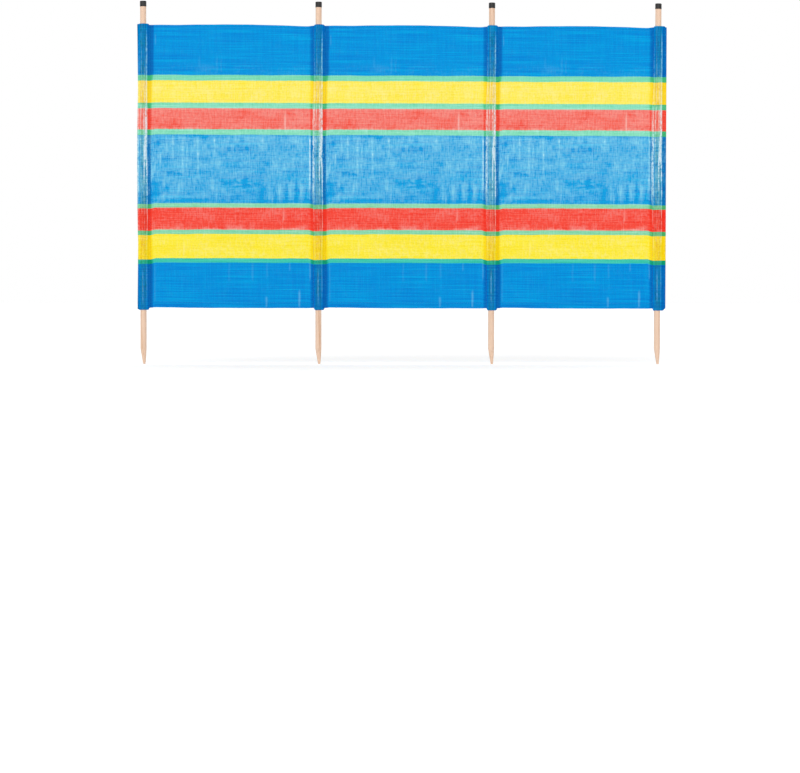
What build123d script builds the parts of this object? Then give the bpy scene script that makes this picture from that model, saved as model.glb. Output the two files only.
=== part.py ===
from build123d import *
import os
from math import acos, cos, sin

# Beach windbreak: three bays of striped cloth held upright by four pointed wooden poles.
# Millimetres. +Z is up, +X runs to the right as seen from the front, and the front faces -Y.
# The origin is on the blunt foot of pole 2, in line with that pole's shank.
# The cloth's middle plane passes through the axes of all four poles.

# Poles
POLE_DIAMETER = 25
POLE_ABOVE_POCKET = 92
POINT_LENGTH = 66
FOOT_DIAMETER = 9.5
FOOT_OFFSET = 3.3
POINT_BULGE = 0.22
POINT_SECTIONS = 5
POLE_TOP_CHAMFER = 0.8

# Spacing of the poles, axis to axis
LEFT_BAY = 726
MIDDLE_BAY = 720
RIGHT_BAY = 694

# Push-on caps
CAP_HEIGHT = 23
CAP_WALL = 0.9
CAP_TOP = 2
CAP_ROUNDING = 3
CAP_CLEARANCE = 0.1

# Cloth
CLOTH_THICKNESS = 1
PANEL_HEIGHT = 1170
TOP_HEM_HEIGHT = 15
BOTTOM_HEM_HEIGHT = 25

# Pockets that the poles slide into, each a front layer and a back layer sewn together at both sides
POCKET_BOTTOM = 224
POCKET_DROP = 9
POCKET_RISE = 5
POCKET_CLEARANCE = 0.3
TIGHT_SIDE = 3.7
LOOSE_SIDE = 11.2
SEAM_WIDTH = 2
END_SEAM_WIDTH = 10

# Doubled cloth beyond each seam, behind the panels
MARGIN_RIGHT_OF_1 = 19
MARGIN_LEFT_OF_2 = 15.5
MARGIN_RIGHT_OF_2 = 18
MARGIN_LEFT_OF_3 = 11
MARGIN_RIGHT_OF_3 = 16
MARGIN_LEFT_OF_4 = 4

# Running gap between a wing's cloth and the pocket that it turns with
WING_CLEARANCE = 0.3

# Heights
PANEL_BOTTOM = POCKET_BOTTOM + POCKET_DROP
PANEL_TOP = PANEL_BOTTOM + PANEL_HEIGHT
POCKET_TOP = PANEL_TOP + POCKET_RISE
POLE_LENGTH = POCKET_TOP + POLE_ABOVE_POCKET

# Pole axes, with pole 2 at zero
POLE_X = {1: -LEFT_BAY, 2: 0, 3: MIDDLE_BAY, 4: MIDDLE_BAY + RIGHT_BAY}

# A pocket's section: its inner and outer radius round the pole, and how far its seams stand from the axis
POLE_RADIUS = POLE_DIAMETER / 2
POCKET_INNER_RADIUS = POLE_RADIUS + POCKET_CLEARANCE
POCKET_OUTER_RADIUS = POCKET_INNER_RADIUS + CLOTH_THICKNESS
TIGHT_SEAM = POCKET_OUTER_RADIUS + TIGHT_SIDE
LOOSE_SEAM = POCKET_OUTER_RADIUS + LOOSE_SIDE
CLOTH_FRONT = -CLOTH_THICKNESS / 2
CLOTH_BACK = CLOTH_THICKNESS / 2
DOUBLED_BACK = CLOTH_BACK + CLOTH_THICKNESS


def slab(x_range, y_range, z_range):
    """A rectangular block between two limits along each axis."""
    size = [high - low for low, high in (x_range, y_range, z_range)]
    low_corner = (x_range[0], y_range[0], z_range[0])
    return Pos(*low_corner) * Box(*size, align=(Align.MIN, Align.MIN, Align.MIN))


def pole_point():
    """The hewn point: round sections that widen along a convex curve and lean from the foot to the axis."""
    foot_radius = FOOT_DIAMETER / 2
    sections = []
    for step in range(POINT_SECTIONS):
        share = step / (POINT_SECTIONS - 1)
        convex_share = share + POINT_BULGE * share * (1 - share)
        radius = foot_radius + (POLE_RADIUS - foot_radius) * convex_share
        lean = FOOT_OFFSET * (1 - share)
        sections.append(Pos(lean, 0, POINT_LENGTH * share) * Circle(radius))
    return loft(sections)


def pole():
    """A round pole with its point down and a chamfered top."""
    shank_length = POLE_LENGTH - POINT_LENGTH
    shank = Pos(0, 0, POINT_LENGTH) * Cylinder(
        POLE_RADIUS, shank_length, align=(Align.CENTER, Align.CENTER, Align.MIN)
    )
    shank = chamfer(shank.edges().sort_by(Axis.Z)[-1], POLE_TOP_CHAMFER)
    return shank + pole_point()


def cap():
    """A cup that is pushed down over the pole's top until its closed end meets the wood."""
    bore_radius = POLE_RADIUS + CAP_CLEARANCE
    cap_bottom = POLE_LENGTH + CAP_TOP - CAP_HEIGHT
    seated = (Align.CENTER, Align.CENTER, Align.MIN)
    outside = Pos(0, 0, cap_bottom) * Cylinder(bore_radius + CAP_WALL, CAP_HEIGHT, align=seated)
    outside = fillet(outside.edges().sort_by(Axis.Z)[-1], CAP_ROUNDING)
    bore = Pos(0, 0, cap_bottom) * Cylinder(bore_radius, CAP_HEIGHT - CAP_TOP, align=seated)
    return outside - bore


def eye_section(radius, left, right):
    """A circle round the pole with straight tangents that meet in a point at each side."""
    left_turn = acos(radius / left)
    right_turn = acos(radius / right)
    left_touch = (-radius * cos(left_turn), radius * sin(left_turn))
    right_touch = (radius * cos(right_turn), radius * sin(right_turn))
    back = [
        Line((-left, 0), left_touch),
        ThreePointArc(left_touch, (0, radius), right_touch),
        Line(right_touch, (right, 0)),
    ]
    front = [mirror(edge, about=Plane.XZ) for edge in back]
    return make_face(back + front)


def pocket(left_seam_width, right_seam_width):
    """Two layers of cloth round the pole, sewn flat together in a seam at each side."""
    inner_share = POCKET_INNER_RADIUS / POCKET_OUTER_RADIUS
    outside = eye_section(POCKET_OUTER_RADIUS, TIGHT_SEAM, LOOSE_SEAM)
    inside = eye_section(POCKET_INNER_RADIUS, TIGHT_SEAM * inner_share, LOOSE_SEAM * inner_share)
    z_range = (POCKET_BOTTOM, POCKET_TOP)
    shell = Pos(0, 0, POCKET_BOTTOM) * extrude(outside, POCKET_TOP - POCKET_BOTTOM)
    y_range = (CLOTH_FRONT, DOUBLED_BACK)
    shell += slab((LOOSE_SEAM - CLOTH_THICKNESS, LOOSE_SEAM + right_seam_width), y_range, z_range)
    if left_seam_width > 0:
        shell += slab((-TIGHT_SEAM - left_seam_width, CLOTH_THICKNESS - TIGHT_SEAM), y_range, z_range)
    hollow = Pos(0, 0, POCKET_BOTTOM) * extrude(inside, POCKET_TOP - POCKET_BOTTOM)
    return shell - hollow


def write(name, shape):
    """One sub-part in one file of its own name."""
    export_step(shape, "parts/" + name + ".step")


os.makedirs("parts", exist_ok=True)

# Poles and caps, all four alike
for number, x in POLE_X.items():
    write("pole_" + str(number), Pos(x, 0, 0) * pole())
    write("cap_" + str(number), Pos(x, 0, 0) * cap())

# Pockets: the left end is a plain fold with no seam, and the right end has a wide finishing seam
LEFT_SEAMS = {1: 0, 2: SEAM_WIDTH, 3: SEAM_WIDTH, 4: SEAM_WIDTH}
RIGHT_SEAMS = {1: SEAM_WIDTH, 2: SEAM_WIDTH, 3: SEAM_WIDTH, 4: END_SEAM_WIDTH}
for number, x in POLE_X.items():
    write("pocket_" + str(number), Pos(x, 0, 0) * pocket(LEFT_SEAMS[number], RIGHT_SEAMS[number]))

# Panels, from the right seam of one pocket to the left seam of the next.
# Only the two wings' edges beside poles 2 and 3 keep the running gap.
RIGHT_GAPS = {1: 0, 2: 0, 3: WING_CLEARANCE}
LEFT_GAPS = {2: WING_CLEARANCE, 3: 0, 4: 0}
RIGHT_MARGINS = {1: MARGIN_RIGHT_OF_1, 2: MARGIN_RIGHT_OF_2, 3: MARGIN_RIGHT_OF_3}
LEFT_MARGINS = {2: MARGIN_LEFT_OF_2, 3: MARGIN_LEFT_OF_3, 4: MARGIN_LEFT_OF_4}
PANEL_RANGE = (PANEL_BOTTOM, PANEL_TOP)
FRONT_LAYER = (CLOTH_FRONT, CLOTH_BACK)
BACK_LAYER = (CLOTH_BACK, DOUBLED_BACK)
for bay in (1, 2, 3):
    left_edge = POLE_X[bay] + LOOSE_SEAM + SEAM_WIDTH + RIGHT_GAPS[bay]
    right_edge = POLE_X[bay + 1] - TIGHT_SEAM - SEAM_WIDTH - LEFT_GAPS[bay + 1]
    left_margin_end = left_edge + RIGHT_MARGINS[bay]
    right_margin_start = right_edge - LEFT_MARGINS[bay + 1]
    hem_x = (left_margin_end, right_margin_start)
    write("panel_" + str(bay), slab((left_edge, right_edge), FRONT_LAYER, PANEL_RANGE))
    write(
        "margin_" + str(bay) + "_right",
        slab((left_edge, left_margin_end), BACK_LAYER, PANEL_RANGE),
    )
    write(
        "margin_" + str(bay + 1) + "_left",
        slab((right_margin_start, right_edge), BACK_LAYER, PANEL_RANGE),
    )
    write("top_hem_" + str(bay), slab(hem_x, BACK_LAYER, (PANEL_TOP - TOP_HEM_HEIGHT, PANEL_TOP)))
    write("bottom_hem_" + str(bay), slab(hem_x, BACK_LAYER, (PANEL_BOTTOM, PANEL_BOTTOM + BOTTOM_HEM_HEIGHT)))
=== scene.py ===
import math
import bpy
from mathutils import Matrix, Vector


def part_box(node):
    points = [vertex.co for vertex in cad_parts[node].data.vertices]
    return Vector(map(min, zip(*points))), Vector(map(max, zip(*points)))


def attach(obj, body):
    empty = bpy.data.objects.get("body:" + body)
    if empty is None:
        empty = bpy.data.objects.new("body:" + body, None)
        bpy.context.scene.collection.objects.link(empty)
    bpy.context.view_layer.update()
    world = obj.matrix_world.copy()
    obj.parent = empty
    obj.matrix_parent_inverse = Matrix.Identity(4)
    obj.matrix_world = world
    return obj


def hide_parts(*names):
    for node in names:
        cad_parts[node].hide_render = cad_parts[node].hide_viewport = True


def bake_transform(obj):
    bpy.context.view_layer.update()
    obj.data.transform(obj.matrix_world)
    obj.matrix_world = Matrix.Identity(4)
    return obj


bl_info = {
    "name": "Beach windbreak",
    "version": (1, 0, 0),
    "blender": (4, 5, 0),
    "location": "View3D > Sidebar > Windbreak",
    "description": "Dresses the packed windbreak in striped cloth, stitching, wood and moulded caps",
    "category": "Object",
}

import bmesh
import bpy
from mathutils import Matrix, Vector, noise

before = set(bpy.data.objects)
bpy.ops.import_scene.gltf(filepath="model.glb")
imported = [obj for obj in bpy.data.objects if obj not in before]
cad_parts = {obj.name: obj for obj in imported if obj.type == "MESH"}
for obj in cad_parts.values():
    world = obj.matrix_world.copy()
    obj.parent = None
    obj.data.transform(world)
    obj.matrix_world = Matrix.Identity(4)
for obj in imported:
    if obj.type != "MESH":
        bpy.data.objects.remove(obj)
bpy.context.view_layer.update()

MM = 0.001

# Where things are in the frame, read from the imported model
POLES = (1, 2, 3, 4)
BAYS = (1, 2, 3)
BAY_BODY = {1: "left_bay", 2: "middle_bay", 3: "right_bay"}
POLE_AXIS = {n: sum(corner[0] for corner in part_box(f"pole_{n}")) / 2 for n in POLES}
POLE_RADIUS = (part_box("pole_2")[1][1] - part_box("pole_2")[0][1]) / 2
CLOTH_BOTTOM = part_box("panel_1")[0][2]
CLOTH_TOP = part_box("panel_1")[1][2]
SLEEVE_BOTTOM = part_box("pocket_1")[0][2]
SLEEVE_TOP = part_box("pocket_1")[1][2]
TOP_HEM = CLOTH_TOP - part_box("top_hem_1")[0][2]
BOTTOM_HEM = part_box("bottom_hem_1")[1][2] - CLOTH_BOTTOM
CLOTH_HEIGHT = CLOTH_TOP - CLOTH_BOTTOM

# How far from the pole's axis a sleeve's two layers meet at each side, and how far its lips reach
TIGHT_SIDE = 17.5 * MM
LOOSE_SIDE = 25 * MM
LEFT_LIP = 21.8 * MM
RIGHT_LIP = 28.6 * MM

# How far each layer lies behind the panel
FRONT_LIP_DEPTH = -0.6 * MM
HEM_DEPTH = 0.7 * MM
MARGIN_DEPTH = 0.65 * MM
MARGIN_OVER_HEM_DEPTH = 1.4 * MM
BACK_LIP_DEPTH = 2.0 * MM

# The cloth's right end has a wider lip with only the panel between its layers
END_LIP = 35 * MM
END_FRONT_LIP_DEPTH = -0.35 * MM
END_BACK_LIP_DEPTH = 0.9 * MM

# Rows of stitches: how far from the pole's axis to the left, to the right and at the right end, and how far
# from a hem's free edge
LEFT_STITCHES = 20.7 * MM
RIGHT_STITCHES = 27.6 * MM
END_STITCHES = 30 * MM
HEM_STITCHES = 2.5 * MM

# The left end's fold isn't sewn, so its painted highlight, partly whitened film, is this share of the sewn
# ones'
LEFT_FOLD_HIGHLIGHT = 0.55

# The margins end this far short of the panels' upper and lower edge
MARGIN_INSET = 0.8 * MM

# Steps of the cloth's grids, and the number of them across and up one layer of a sleeve
COLUMN_STEP = 3.5 * MM
ROW_STEP = 6.5 * MM
SLEEVE_COLUMNS = 52
SLEEVE_ROWS = 296

# What the cloth's material reads from every vertex: how far it is doubled, which brings painted shade,
# whether it lies over a pole, which brings the pole's painted shade, how much painted highlight or shade a
# crease lays on it, partly whitened film, and how much painted highlight a gathered ridge lays on it
FIGURES = ("doubled", "over_pole", "whitening", "gathered")

# A low camera a little to the left, which brings the poles to where the photograph shows them
CAMERA_PLACE = (-0.0758, -12, 0.30)
CAMERA_TARGET = (0.3401, 0, -0.0938)
CAMERA_LENS = 129.69
CAMERA_ROLL = math.radians(0.098)

# The stripes from the lower edge up: colour property and height in millimetres
STRIPES = (
    ("bottom_blue", 186.3),
    ("lowest_green", 17),
    ("lower_yellow", 99.4),
    ("lower_green", 18.6),
    ("lower_red", 91.7),
    ("lower_green", 21),
    ("middle_blue", 282.3),
    ("upper_green", 22.7),
    ("upper_red", 84),
    ("upper_green", 23),
    ("upper_yellow", 93.7),
    ("upper_green", 23.3),
    ("top_blue", 207),
)

# How much painted shade deepens each stripe where two layers of cloth let less light through, as what it
# adds to the exponent of its colour
DOUBLED_SHADE = {"blue": 0.5, "green": 0.8, "yellow": 0.5, "red": 0.22}

# How much painted sheen, the reflection of a soft light at mid height, lies over the film, partly standing
# for
# whitening from handling: height above the cloth's lower edge in millimetres, average, and how far it varies
SHEEN_AND_WHITENING = (
    (0, 0.0, 0.06),
    (190, 0.0, 0.10),
    (215, 0.04, 1.15),
    (300, 0.03, 1.15),
    (319, 0.04, 1.2),
    (326, 0.09, 2.0),
    (335, 0.02, 0.90),
    (405, 0.05, 0.95),
    (440, 0.13, 1.35),
    (490, 0.20, 1.6),
    (620, 0.25, 1.9),
    (705, 0.27, 1.9),
    (722, 0.12, 1.2),
    (737, 0.24, 2.0),
    (748, 0.12, 1.0),
    (815, 0.13, 0.9),
    (832, 0.25, 1.1),
    (850, 0.09, 1.35),
    (935, 0.06, 1.1),
    (965, 0.01, 0.35),
    (1020, 0.0, 0.08),
)

# Upright creases in every bay: millimetres from the bay's left pole, height of the middle, half width, half
# length and strength. Each carries a painted highlight along its fold, partly whitened film. A negative one
# is a valley with painted shade, where the painted sheen is taken away.
UPRIGHT_CREASES = (
    (70, 852, 3.0, 17, 0.42),
    (95, 905, 4.0, 36, 0.22),
    (122, 890, 3.5, 42, 0.26),
    (163, 858, 4.0, 74, 0.30),
    (180, 860, 4.0, 68, 0.20),
    (226, 858, 3.8, 74, 0.30),
    (213, 915, 3.5, 20, 0.20),
    (295, 898, 4.5, 32, 0.26),
    (35, 790, 2.6, 34, 0.36),
    (45, 808, 2.6, 14, 0.30),
    (85, 757, 4.0, 26, 0.24),
    (92, 790, 3.5, 20, 0.20),
    (147, 738, 3.5, 22, 0.26),
    (160, 745, 3.5, 24, 0.20),
    (210, 742, 3.5, 24, 0.20),
    (288, 750, 5.0, 34, 0.20),
    (303, 702, 4.0, 30, 0.20),
    (497, 900, 4.5, 40, 0.10),
    (540, 880, 4.5, 60, 0.08),
    (440, 840, 4.0, 90, 0.08),
    (587, 800, 4.5, 60, 0.10),
    (622, 850, 4.5, 50, 0.10),
    (655, 860, 5.0, 60, 0.12),
    (521, 708, 5.0, 30, 0.20),
    (533, 690, 3.0, 26, 0.16),
    (565, 715, 6.0, 34, 0.22),
    (610, 712, 6.0, 40, 0.24),
    (622, 690, 3.0, 24, 0.20),
    (655, 712, 6.5, 38, 0.24),
    (690, 842, 2.4, 104, 0.74),
    (490, 697, 9.0, 26, -0.20),
    (548, 694, 7.0, 28, -0.18),
    (592, 712, 6.5, 36, -0.24),
    (635, 712, 6.5, 36, -0.22),
    (676, 708, 6.0, 36, -0.20),
    (698, 862, 2.6, 86, -0.30),
    (587, 1004, 3.6, 36, 0.34),
    (580, 615, 2.8, 22, 0.26),
    (130, 1130, 18, 24, 0.05),
    (55, 1135, 9, 18, 0.06),
    (140, 516, 4.0, 22, 0.06),
    (165, 480, 4.0, 36, 0.06),
    (355, 480, 5.0, 36, 0.04),
    (452, 470, 6.0, 34, 0.05),
    (50, 1343, 2.8, 18, 0.10),
    (305, 1238, 3.5, 30, 0.05),
    (322, 1232, 3.0, 28, 0.04),
    (232, 1252, 3.0, 20, 0.04),
    (47, 320, 3.0, 80, 0.05),
    (510, 258, 4.0, 18, 0.20),
    (647, 270, 3.4, 30, 0.26),
    (692, 394, 3.0, 40, 0.16),
    (452, 385, 4.0, 30, 0.07),
    (355, 385, 3.5, 34, 0.05),
    (607, 405, 3.0, 14, 0.10),
    (512, 390, 4.0, 28, 0.05),
)

# Crumpled places in every bay: middle, height, half width, half height and strength. A positive one carries
# a painted highlight, partly whitened film; a negative one is painted shade, where the painted sheen is
# taken away.
CRUMPLED_PLACES = (
    (65, 912, 13, 6, -0.30),
    (60, 879, 19, 6, -0.30),
    (48, 750, 22, 7, -0.22),
    (46, 703, 20, 16, -0.22),
    (110, 793, 11, 6, -0.26),
    (142, 789, 18, 4, -0.24),
    (96, 729, 8, 8, -0.34),
    (120, 727, 26, 4, -0.14),
    (252, 852, 36, 4, -0.20),
    (245, 795, 26, 6, -0.16),
    (215, 945, 66, 5, -0.30),
    (255, 937, 26, 6, -0.24),
    (165, 678, 120, 6, -0.32),
    (560, 676, 150, 6, -0.24),
    (356, 752, 26, 12, -0.26),
    (430, 752, 34, 24, -0.20),
    (432, 700, 30, 20, -0.06),
    (480, 745, 12, 20, -0.14),
    (415, 852, 5, 5, -0.22),
    (457, 852, 5, 5, -0.22),
    (560, 772, 6, 6, -0.20),
    (605, 772, 6, 6, -0.20),
    (510, 831, 14, 7, -0.30),
    (310, 832, 9, 17, 0.26),
    (82, 694, 9, 14, 0.26),
    (128, 703, 34, 8, 0.14),
    (210, 697, 50, 9, 0.08),
    (258, 704, 16, 10, 0.16),
    (118, 762, 22, 12, 0.10),
    (150, 800, 14, 30, 0.06),
    (640, 930, 22, 16, 0.16),
    (620, 820, 12, 14, 0.08),
    (545, 818, 10, 12, 0.14),
    (370, 815, 50, 30, -0.04),
    (255, 1112, 15, 6, -0.10),
    (210, 1161, 9, 6, -0.10),
    (178, 1150, 14, 5, -0.06),
    (130, 1014, 12, 4, -0.10),
    (158, 1014, 8, 4, -0.10),
    (195, 1012, 14, 4, -0.08),
    (268, 1014, 16, 4, -0.10),
    (408, 1015, 8, 4, -0.08),
    (530, 1014, 26, 4, -0.08),
    (150, 1035, 6, 14, -0.06),
    (660, 1010, 40, 30, 0.05),
    (255, 1225, 60, 16, 0.03),
    (300, 563, 34, 3, 0.26),
    (395, 566, 40, 7, 0.12),
    (372, 562, 22, 2.5, 0.22),
    (570, 563, 20, 4, 0.20),
    (622, 561, 44, 3, 0.30),
    (650, 568, 16, 6, 0.14),
    (130, 563, 14, 4, 0.16),
    (56, 620, 18, 16, -0.06),
)

# Courses of the ridges in the front of every sleeve, each followed down from its top: height, millimetres
# right of the pole's axis, half width, and painted highlight, partly whitened film
GATHERED_SEAM = (
    (1395, 14, 1.4, 0.06),
    (1340, 14.5, 2.4, 0.5),
    (1290, 14, 2.8, 0.6),
    (1240, 14, 3.0, 0.5),
    (1200, 13.5, 2.8, 0.4),
    (1150, 13.5, 2.8, 0.56),
    (1090, 13, 3.0, 0.6),
    (1055, 12, 4.6, 0.76),
    (985, 12, 4.8, 0.8),
    (960, 12, 4.8, 1.15),
    (920, 10, 5.4, 1.25),
    (865, 9.5, 5.0, 1.2),
    (835, 13.5, 3.0, 1.0),
    (790, 15, 2.4, 0.9),
    (740, 16, 2.0, 0.84),
    (690, 16.5, 1.8, 0.6),
    (640, 16.5, 1.8, 0.44),
    (560, 17, 1.8, 0.36),
    (500, 13, 2.6, 0.14),
    (430, 13, 1.8, 0.08),
    (380, 14, 1.6, 0.26),
    (320, 14.5, 1.6, 0.26),
    (240, 14, 1.6, 0.05),
)

LIP_FOLD = (
    (1395, -16, 1.0, 0.04),
    (1220, -17.5, 1.8, 0.32),
    (1150, -18.5, 3.0, 0.26),
    (1060, -20.5, 4.2, 0.66),
    (990, -21, 4.4, 0.8),
    (900, -21.5, 4.4, 0.92),
    (760, -21.5, 4.4, 0.98),
    (690, -21, 4.0, 0.7),
    (640, -20.5, 2.8, 0.4),
    (560, -19.5, 2.4, 0.32),
    (480, -16, 2.6, 0.14),
    (410, -12, 2.0, 0.05),
    (240, -12, 1.4, 0.03),
)

MIDDLE_RIDGE = (
    (1250, 6, 1.2, 0.06),
    (1210, 6, 1.4, 0.24),
    (1150, 5, 1.8, 0.5),
    (1090, 5, 1.8, 0.54),
    (1055, 3.5, 1.5, 0.68),
    (975, 3, 1.6, 0.72),
    (920, 2.5, 1.4, 0.4),
    (865, 4, 2.4, 1.0),
    (830, 4, 2.2, 1.1),
    (790, 3.5, 1.8, 0.9),
    (740, 3, 1.5, 0.64),
    (690, 3.5, 1.4, 0.34),
    (640, 5, 1.4, 0.14),
    (560, 5, 1.4, 0.08),
)

THIN_LINE = (
    (1370, -8, 1.0, 0.2),
    (1200, -7, 1.1, 0.3),
    (1060, -9, 1.6, 0.56),
    (1000, -11, 1.7, 0.56),
    (900, -11.5, 1.4, 0.36),
    (760, -9, 1.4, 0.26),
    (640, -6, 1.3, 0.12),
    (400, -2, 1.2, 0.08),
    (360, -2, 1.4, 0.44),
    (270, -1.5, 1.4, 0.38),
    (240, -1, 1.2, 0.06),
)

# How proud each ridge stands in millimetres, how much it is broken into beads, and its course
SLEEVE_RIDGES = (
    (1.0, 1.0, GATHERED_SEAM),
    (0.5, 0.25, LIP_FOLD),
    (0.5, 0.8, MIDDLE_RIDGE),
    (0.4, 0.4, THIN_LINE),
)

# Fine pale specks of painted glints on every sleeve: height and how strong they are
SLEEVE_GLINTS = (
    (1390, 0.0),
    (1320, 0.04),
    (1210, 0.16),
    (1100, 0.10),
    (960, 0.10),
    (700, 0.10),
    (540, 0.09),
    (420, 0.0),
)

# How far from a pole's axis the doubled cloth takes painted shade, as less light passes through it: height,
# millimetres left and right
DOUBLED_REACH = (
    (1400, 35, 44),
    (1210, 35, 42),
    (1170, 34, 36),
    (1060, 34, 33),
    (950, 34, 31),
    (760, 34, 30),
    (660, 34, 32),
    (540, 34, 34),
    (440, 33, 36),
    (400, 31, 39),
    (300, 31, 39),
    (230, 33, 39),
)


def linear(hex_colour):
    """An sRGB hex colour as linear red, green and blue."""
    parts = [int(hex_colour[i : i + 2], 16) / 255 for i in (1, 3, 5)]
    return [p / 12.92 if p <= 0.04045 else ((p + 0.055) / 1.055) ** 2.4 for p in parts]


def eased(low, high, value):
    """Goes smoothly from 0 at low to 1 at high."""
    share = min(max((value - low) / (high - low), 0), 1)
    return share * share * (3 - 2 * share)


def hump(distance, width):
    """1 at the middle of a ridge, falling to nothing at about twice its half width."""
    return math.exp(-((distance / width) ** 2))


def plateau(distance, width):
    """1 across most of a fold, falling to nothing a little beyond its half width."""
    return 1 - eased(0.65 * width, 1.25 * width, abs(distance))


def ripple(*place):
    """Smooth noise at a place, zero on average."""
    return noise.noise(Vector(place))


def followed(rows, level):
    """The figures at this level, between the rows above and below it. The rows run from the top down."""
    if level >= rows[0][0]:
        return rows[0][1:]
    for upper, lower in zip(rows, rows[1:]):
        if level >= lower[0]:
            share = (upper[0] - level) / (upper[0] - lower[0])
            return tuple(high + (low - high) * share for high, low in zip(upper[1:], lower[1:]))
    return rows[-1][1:]


# Settings that the sidebar shows


def colour(name, hex_colour, description):
    return bpy.props.FloatVectorProperty(
        name=name, description=description, default=linear(hex_colour), size=3, subtype="COLOR", min=0, max=1
    )


def amount(name, value, description, **more):
    return bpy.props.FloatProperty(name=name, description=description, default=value, min=0, **more)


def length(name, millimetres, description):
    return amount(name, millimetres * MM, description, unit="LENGTH", precision=5)


class WindbreakColours(bpy.types.PropertyGroup):
    # The upper red, the upper yellow and the middle blue are set a little paler than their other copies,
    # partly as painted sheen from the soft light at mid height
    top_blue: colour("Top blue", "#0093DB", "The broad blue stripe along the upper edge")
    middle_blue: colour("Middle blue", "#0A9BDC", "The broad blue stripe at mid height")
    bottom_blue: colour("Bottom blue", "#0091DA", "The broad blue stripe along the lower edge")
    upper_green: colour("Upper greens", "#7CD8B2", "The three narrow green stripes of the upper half")
    lower_green: colour("Lower greens", "#86D4A8", "Two of the narrow green stripes of the lower half")
    lowest_green: colour("Lowest green", "#3FC6AE", "The narrow green stripe next to the lower blue")
    upper_yellow: colour("Upper yellow", "#FBE750", "The yellow stripe of the upper half")
    lower_yellow: colour("Lower yellow", "#FAE73A", "The yellow stripe of the lower half")
    upper_red: colour("Upper red", "#F25E50", "The red stripe of the upper half")
    lower_red: colour("Lower red", "#F44B3C", "The red stripe of the lower half")
    # The veil over the colours: painted sheen of a soft light at mid height and painted highlights on
    # creases, partly whitened film
    sheened_and_whitened: colour("Whitened film", "#A0DAD2", "The veil over the colours where the film has whitened")
    # The strongest painted highlights, along sharp folds and ridges, go to this colour, partly film turned
    # white
    folded: colour("Sharp folds", "#E6EBF8", "Film that has turned quite white along a sharp fold")
    thread: colour("Thread", "#3E90CC", "Sewing thread")
    wood: colour("Wood", "#EBCAB1", "Bare softwood between its growth rings")
    wood_rings: colour("Growth rings", "#CC9C76", "The darker lines of the wood's grain")
    cap: colour("Caps", "#1B1B1B", "Moulded end caps")


class WindbreakSizes(bpy.types.PropertyGroup):
    cloth_thickness: length("Cloth thickness", 0.4, "Thickness of one layer of cloth")
    tape_width: length("Tape width", 4.2, "Width of the woven tapes, wider than real so that it shows")
    billow: length("Billow", 5, "How far the middle of a bay stands forward")
    crinkle: length("Crinkle", 0.9, "Height of the small crinkles")
    crease_height: length("Crease height", 0.7, "Height of the upright creases")
    left_bulge: length("Bulge at the left end", 10, "How far the left end's fold stands out at mid height")
    stripe_drop: length("Stripe drop", 7, "How far the stripes sit lower on the sleeves at the lower edge")
    stitch_pitch: length("Stitch pitch", 5, "Distance from one stitch to the next")
    stitch_length: length("Stitch length", 3.6, "Visible length of one stitch")
    thread_thickness: length("Thread thickness", 0.35, "Thickness of the sewing thread")


class WindbreakStage(bpy.types.PropertyGroup):
    world_light: amount("World light", 0.56, "Brightness of the light from all round")
    key_light: amount("Key light", 1.4, "Strength of the soft light from the front")
    back_light: amount("Back light", 1.2, "Strength of the soft light from behind")
    gloss_light: amount("Gloss light", 12, "Power of the strip that the gloss reflects", unit="POWER")


# Materials


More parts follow.
